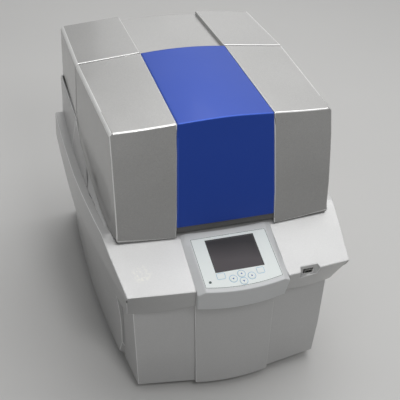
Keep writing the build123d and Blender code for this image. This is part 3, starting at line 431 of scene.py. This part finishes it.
def evened(bm, even_out):
    """Merge what the solid splits: welded vertices, flat faces, and the slivers beside its open edges."""
    bmesh.ops.remove_doubles(bm, verts=bm.verts, dist=WELD * MM)
    bmesh.ops.dissolve_limit(bm, angle_limit=math.radians(FLAT), verts=bm.verts, edges=bm.edges)
    open_edges = [edge for edge in bm.edges if is_open(edge)]
    along = tree_of([point for edge in open_edges for point in walk(edge, OPEN_PITCH)])
    beside = [
        edge
        for edge in bm.edges
        if edge not in open_edges and all(along.find(vert.co)[2] < NEAR * MM for vert in edge.verts)
    ]
    bmesh.ops.dissolve_limit(bm, angle_limit=math.radians(even_out), verts=[], edges=beside)


def weighted(bm, radius):
    """Give each open edge its share of the radius, and return points along the broad ones, where the highlight
    is painted.
    """
    weight = bm.edges.layers.float.new("bevel_weight_edge")
    painted_highlight = []
    for edge in filter(is_open, bm.edges):
        if room(edge) > BROAD_ROOM * MM and edge.calc_length() > BROAD_LENGTH * MM:
            edge[weight] = min(1.0, ROOM_SHARE * room(edge) / (radius * MM))
            painted_highlight += walk(edge, BROAD_PITCH)
        else:
            edge[weight] = RIM_RADIUS / radius
    return painted_highlight


def bevelled(name, bm, radius):
    """A new object with the weighted edges rounded."""
    mesh = bpy.data.meshes.new(name)
    bm.to_mesh(mesh)
    piece = bpy.data.objects.new(name, mesh)
    bpy.context.scene.collection.objects.link(piece)
    edge = piece.modifiers.new("edge", "BEVEL")
    edge.width, edge.segments = radius * MM, ROUND_SEGMENTS
    edge.limit_method = "WEIGHT"
    edge.use_clamp_overlap = False
    solid = bpy.data.meshes.new_from_object(piece.evaluated_get(bpy.context.evaluated_depsgraph_get()))
    piece.modifiers.clear()
    piece.data = solid
    bpy.data.meshes.remove(mesh)
    return piece


def rounded(node, material, radius, even_out=3.5):
    """A moulding in the node's place: broad rounds on its open edges, small ones on its rims, and a painted
    highlight marked along the broad rounds.
    """
    bm = bmesh.new()
    bm.from_mesh(frame["nodes"][node].data)
    evened(bm, even_out)
    painted_highlight = tree_of(weighted(bm, radius))
    surface = BVHTree.FromBMesh(bm)
    corners = tree_of([vert.co for vert in bm.verts])
    piece = bevelled(f"{node}_moulding", bm, radius)
    bm.free()
    mesh = piece.data
    for vertex in mesh.vertices:
        place, _, _, off = surface.find_nearest(vertex.co)
        if off > STRAY * radius * MM:
            vertex.co = corners.find(vertex.co)[0] if NOTCH[0] * MM < off < NOTCH[1] * MM else place
    # Faces near a broad round's edge are marked for the painted highlight
    near = [painted_highlight.find(vertex.co)[2] < PAINTED_HIGHLIGHT_REACH * radius * MM for vertex in mesh.vertices]
    painted_highlight_faces = mesh.attributes.new("painted_highlight", "FLOAT", "FACE")
    painted_highlight_faces.data.foreach_set("value", [float(all(near[k] for k in face.vertices)) for face in mesh.polygons])
    cover(mesh, material)
    mesh.shade_smooth()
    even = piece.modifiers.new("even", "WEIGHTED_NORMAL")
    even.mode, even.keep_sharp = "FACE_AREA", True
    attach(piece, BODY[node])
    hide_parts(node)


# Print on the console


def console_point(x, y, lift):
    """A point over the sloping console, from its place in plan and its lift in millimetres."""
    z = CON_Z + CON_SLOPE * (y - CON_Y)
    return Vector((x, y - lift * CON_SLOPE / SLANT, z + lift / SLANT)) * MM


def up_slope(y):
    """A depth in plan as a distance up the slope."""
    return (y - CON_Y) * SLANT


def printed(name, outline, hole, material, body, low, high):
    """Ink on the console: a thin layer between two lifts, closed on all sides."""
    bm = bmesh.new()
    rings = []
    for loop in filter(None, (outline, hole)):
        for lift in (low, high):
            rings.append([bm.verts.new(console_point(x, CON_Y + v / SLANT, lift)) for x, v in loop])
    count = len(outline)
    for k in range(count):
        n = (k + 1) % count
        bm.faces.new((rings[0][k], rings[0][n], rings[1][n], rings[1][k]))
        if hole:
            bm.faces.new((rings[2][n], rings[2][k], rings[3][k], rings[3][n]))
            bm.faces.new((rings[1][k], rings[1][n], rings[3][n], rings[3][k]))
            bm.faces.new((rings[0][n], rings[0][k], rings[2][k], rings[2][n]))
    if not hole:
        bm.faces.new(rings[1])
        bm.faces.new(rings[0][::-1])
    bmesh.ops.recalc_face_normals(bm, faces=bm.faces)
    mesh = bpy.data.meshes.new(name)
    bm.to_mesh(mesh)
    bm.free()
    mesh.materials.append(material)
    piece = bpy.data.objects.new(name, mesh)
    bpy.context.scene.collection.objects.link(piece)
    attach(piece, body)


def ring(x, v, radius, count=36):
    """A circle, as a loop of places."""
    turns = [2 * math.pi * k / count for k in range(count)]
    return [(x + radius * math.cos(turn), v + radius * math.sin(turn)) for turn in turns]


def arrow(x, v, turn):
    """A triangle that points the way of the turn."""
    angles = [math.radians(turn + k) for k in (0, 120, 240)]
    return [(x + ARROW_R * math.cos(angle), v + ARROW_R * math.sin(angle)) for angle in angles]


def frame_loop(x0, v0, x1, v1, radius, steps=5):
    """A rectangle with rounded corners, as a loop of places."""
    left, right, low, top = x0 + radius, x1 - radius, v0 + radius, v1 - radius
    loop = []
    for cx, cv, start in ((right, top, 0), (left, top, 90), (left, low, 180), (right, low, 270)):
        for k in range(steps):
            turn = math.radians(start + 90 * k / (steps - 1))
            loop.append((cx + radius * math.cos(turn), cv + radius * math.sin(turn)))
    return loop


def key_loop(x, v, width, depth, margin, radius):
    """A loop round a soft key."""
    across, along = width / 2, depth / 2
    return frame_loop(x - across - margin, v - along - margin, x + across + margin, v + along + margin, radius)


def overlay_loop(inset):
    """The overlay's outline, drawn in from its edge."""
    low = up_slope(OVERLAY_CORNER_Y) + inset
    top = up_slope(OVERLAY_TOP_Y) - inset
    corner = OVERLAY_CORNER_X - inset
    loop = [(OVERLAY_TOP_X - inset, top), (inset - OVERLAY_TOP_X, top), (-corner, low)]
    sag = (OVERLAY_CORNER_Y - OVERLAY_LOW_Y) * SLANT
    for k in range(1, 24):
        x = -corner * (1 - k / 12)
        loop.append((x, low - sag * (1 - (x / corner) ** 2)))
    return [*loop, (corner, low)]


# The object's parts


class SEQ_OT_housing(bpy.types.Operator):
    """Paint the lid, the rear cover, the base and the covers"""

    bl_idname = "sequencer.housing"
    bl_label = "Housing"

    def execute(self, context):
        paint = context.scene.sequencer_paint
        # Each lacquer's second colour is the painted highlight along its broad rounds
        silver = flake_paint(
            "silver_lacquer", tuple(paint.silver), (0.92, 0.92, 0.91),
            spread=0.36, metallic=0.70, roughness=0.36, grain=1700.0, coat=0.8,
        )
        pearl = flake_paint(
            "pearl_lacquer", tuple(paint.pearl), (0.86, 0.86, 0.86),
            spread=0.16, metallic=0.50, roughness=0.40, grain=1700.0, coat=0.4, rubbed=True,
        )
        blue = flake_paint(
            "blue_lacquer", tuple(paint.blue), (0.05, 0.13, 0.62),
            spread=0.16, metallic=0.5, roughness=0.42, grain=1900.0, coat=0.15,
        )
        for node in ("lid_side_left", "lid_side_right", "rear_cover"):
            rounded(node, silver, radius=2.6)
        for node in ("base_shell", "front_cover"):
            rounded(node, pearl, radius=1.4, even_out=1.0)
        for node in ("front_panel", "collar"):
            rounded(node, pearl, radius=1.4)
        rounded("lid_panel", blue, radius=2.2)
        dress(moulded("liner_plastic", (0.12, 0.118, 0.115), 0.5), "lid_liner", "bulkhead", "dispenser")
        dress(moulded("rear_paint", (0.42, 0.43, 0.44), 0.55, grain=500.0, depth=0.4), "rear_panel")
        return {"FINISHED"}


class SEQ_OT_console(bpy.types.Operator):
    """Finish the operator console, its overlay, display and keys"""

    bl_idname = "sequencer.console"
    bl_label = "Console"

    def execute(self, context):
        paint = context.scene.sequencer_paint
        rounded("console", moulded("console_plastic", tuple(paint.console), 0.40), radius=1.6)
        film = moulded("overlay_film", tuple(paint.overlay), 0.36, grain=2600.0, depth=0.1, variation=0.03)
        dress(film, "console_overlay", *KEYS, *SOFT_KEYS)
        dress(display(), "display_glass")
        dress(moulded("lamp_lens", (0.055, 0.10, 0.085), 0.2), "status_lamp")

        line = moulded("edge_ink", (0.10, 0.105, 0.11), 0.5, variation=0.15)
        pale = moulded("outline_ink", (0.30, 0.56, 0.76), 0.45, variation=0.12)
        deep = moulded("symbol_ink", (0.015, 0.10, 0.36), 0.45, variation=0.15)
        printed("overlay_border", overlay_loop(BORDER_OUT), overlay_loop(BORDER_IN), line,
                "housing", SHEET, SHEET + INK)
        for name, (x, y) in KEYS.items():
            v = up_slope(y)
            printed(f"{name}_ring", ring(x, v, KEY_R + RING_OUT), ring(x, v, KEY_R + RING_IN), pale,
                    "housing", SHEET - INK_ROOT, SHEET + INK)
            printed(f"{name}_symbol", arrow(x, v, ARROW_TURN[name]), None, deep,
                    f"{name}_cap", KEY_RISE, KEY_RISE + INK)
        for name, (x, y, width, depth) in SOFT_KEYS.items():
            outer, inner = (key_loop(x, up_slope(y), width, depth, *side) for side in (OUTLINE_OUT, OUTLINE_IN))
            printed(f"{name}_outline", outer, inner, pale,
                    "housing", SHEET - INK_ROOT, SHEET + INK)
        low, top = up_slope(SCREEN_Y0), up_slope(SCREEN_Y1)
        mask = frame_loop(-SCREEN_X - MASK_LAP, low - MASK_LAP, SCREEN_X + MASK_LAP, top + MASK_LAP, MASK_CORNER)
        window = frame_loop(-SCREEN_X + MASK_LEFT, low + MASK_LOW, SCREEN_X - MASK_RIGHT, top - MASK_TOP,
                            WINDOW_CORNER)
        printed("display_mask", mask, window, moulded("mask_ink", (0.004, 0.004, 0.005), 0.3),
                "housing", 0.0, MASK_INK)
        return {"FINISHED"}


class SEQ_OT_fittings(bpy.types.Operator):
    """Finish the metalwork, rear services, feet and process parts"""

    bl_idname = "sequencer.fittings"
    bl_label = "Fittings"

    def execute(self, context):
        plated = metal("plated_steel", (0.62, 0.62, 0.60), 0.32, (1, 1, 12))
        blasted = metal("blasted_aluminium", (0.80, 0.81, 0.82), 0.42)
        black = moulded("black_plastic", (0.016, 0.016, 0.018), 0.45)
        rubber = moulded("foot_rubber", (0.02, 0.02, 0.02), 0.8, grain=500.0, depth=0.5)
        dress(port_steel(), "usb_port")
        dress(plated, "base_plate", "network_port", "hinge_bracket_left", "hinge_bracket_right",
              "power_supply", "fan_guard")
        dress(blasted, "work_deck", "heating_block", "plate_frame", "lid_arm_left", "lid_arm_right")
        dress(black, "display_module", "power_inlet", "switch_bezel", "switch_rocker", "fan_frame",
              "fan_rotor", "camera_unit")
        dress(rubber, "foot_front_left", "foot_front_right", "foot_rear_left", "foot_rear_right",
              "chamber_seal")
        dress(moulded("board_mask", (0.01, 0.09, 0.04), 0.35), "main_board")
        dress(moulded("cartridge_plastic", (0.38, 0.52, 0.66), 0.4), "cartridge")
        dress(moulded("cover_plastic", (0.62, 0.68, 0.74), 0.25), "cartridge_cover")
        return {"FINISHED"}


# Studio


def panel_light(name, place, aim, size, power):
    """A square panel light at a place, turned to what it lights, in metres."""
    data = bpy.data.lights.new(name, "AREA")
    data.shape, data.size, data.energy = "SQUARE", size, power
    lamp = bpy.data.objects.new(name, data)
    lamp.location = place
    lamp.visible_camera = False
    lamp.rotation_euler = (Vector(aim) - Vector(place)).to_track_quat("-Z", "Y").to_euler()
    bpy.context.scene.collection.objects.link(lamp)


def paper_floor(colour):
    """A pale paper floor that fades into the backdrop far from the object."""
    bm = bmesh.new()
    bmesh.ops.create_grid(bm, x_segments=8, y_segments=8, size=FLOOR_HALF)
    mesh = bpy.data.meshes.new("floor")
    bm.to_mesh(mesh)
    bm.free()
    floor = bpy.data.objects.new("floor", mesh)
    bpy.context.scene.collection.objects.link(floor)
    finish = Finish("floor_paper", Roughness=0.9, Emission_Strength=1.0)
    cloud = finish.noise(3.0, 3.0)
    paper = finish.blend(cloud, shade(colour, 0.98), shade(colour, 1.02))
    far = finish.ramp(finish.distance((0.0, 0.0, 0.0)), 0.0, 1.0, FADE_FROM, FADE_TO) ** FADE_CURVE
    seen = finish.seen()
    faded = finish.blend(far, paper, (0.02, 0.02, 0.02))
    finish.feed("Base Color", finish.blend(seen, shade(colour, BOUNCE_SHADE), faded))
    finish.feed("Emission Color", finish.blend(seen * far, (0.0, 0.0, 0.0), BACKDROP))
    mesh.materials.append(finish.material)


def room_world():
    """Plain light from all round, and the backdrop where the camera sees past the floor."""
    world = bpy.data.worlds.new("room")
    world.use_nodes = True
    bpy.context.scene.world = world
    sky = Sky(world)
    sky.feed("Color", sky.blend(sky.seen(), ROOM_LIGHT, BACKDROP))


def camera_axes(turn, pitch, roll):
    """The camera's right, up and back axes."""
    ahead = Vector((math.sin(turn) * math.cos(pitch), math.cos(turn) * math.cos(pitch), -math.sin(pitch)))
    level = Vector((math.cos(turn), -math.sin(turn), 0))
    down = ahead.cross(level)
    right = level * math.cos(roll) + down * math.sin(roll)
    down = down * math.cos(roll) - level * math.sin(roll)
    return Matrix((right, -down, -ahead)).transposed().to_4x4()


class SEQ_OT_studio(bpy.types.Operator):
    """Set the floor, the lights and the camera"""

    bl_idname = "sequencer.studio"
    bl_label = "Studio"

    def execute(self, context):
        studio = context.scene.sequencer_studio
        scene = context.scene
        scene.view_settings.view_transform = "Standard"
        paper_floor(tuple(studio.floor))
        room_world()
        panel_light("overhead", (0.45, 0.40, 1.9), (0.0, 0.0, 0.3), 1.8, studio.top_power)
        panel_light("back_light", (1.0, 2.3, 1.6), (0.0, 0.0, 0.35), 1.8, studio.back_power)
        panel_light("front_lamp", (0.10, -1.35, 1.80), (0.0, 0.0, 0.35), 0.42, studio.front_power)
        panel_light("side_fill", (-1.7, -0.9, 1.1), (0.0, 0.0, 0.25), 1.2, studio.fill_power)

        data = bpy.data.cameras.new("camera")
        data.lens, data.sensor_width = studio.lens, SENSOR
        data.clip_start, data.clip_end = 0.05, 50
        camera = bpy.data.objects.new("camera", data)
        scene.collection.objects.link(camera)
        axes = camera_axes(*(math.radians(angle) for angle in CAMERA_ANGLES))
        camera.matrix_world = Matrix.Translation(Vector(CAMERA_PLACE) * MM) @ axes
        scene.camera = camera
        return {"FINISHED"}


class SEQ_PT_sidebar(bpy.types.Panel):
    """Sequencer settings"""

    bl_idname = "SEQ_PT_sidebar"
    bl_label = "Sequencer"
    bl_space_type = "VIEW_3D"
    bl_region_type = "UI"
    bl_category = "Sequencer"

    def draw(self, context):
        for group in (context.scene.sequencer_paint, context.scene.sequencer_studio):
            for name in group.__annotations__:
                self.layout.prop(group, name)
        for operator in OPERATORS:
            self.layout.operator(operator.bl_idname)


OPERATORS = (SEQ_OT_housing, SEQ_OT_console, SEQ_OT_fittings, SEQ_OT_studio)
CLASSES = (PaintSettings, StudioSettings, *OPERATORS, SEQ_PT_sidebar)


def register():
    for cls in CLASSES:
        bpy.utils.register_class(cls)
    bpy.types.Scene.sequencer_paint = PointerProperty(type=PaintSettings)
    bpy.types.Scene.sequencer_studio = PointerProperty(type=StudioSettings)


def unregister():
    del bpy.types.Scene.sequencer_studio
    del bpy.types.Scene.sequencer_paint
    for cls in reversed(CLASSES):
        bpy.utils.unregister_class(cls)


def main():
    register()
    bpy.ops.sequencer.housing()
    bpy.ops.sequencer.console()
    bpy.ops.sequencer.fittings()
    bpy.ops.sequencer.studio()


if __name__ == "__main__":
    main()
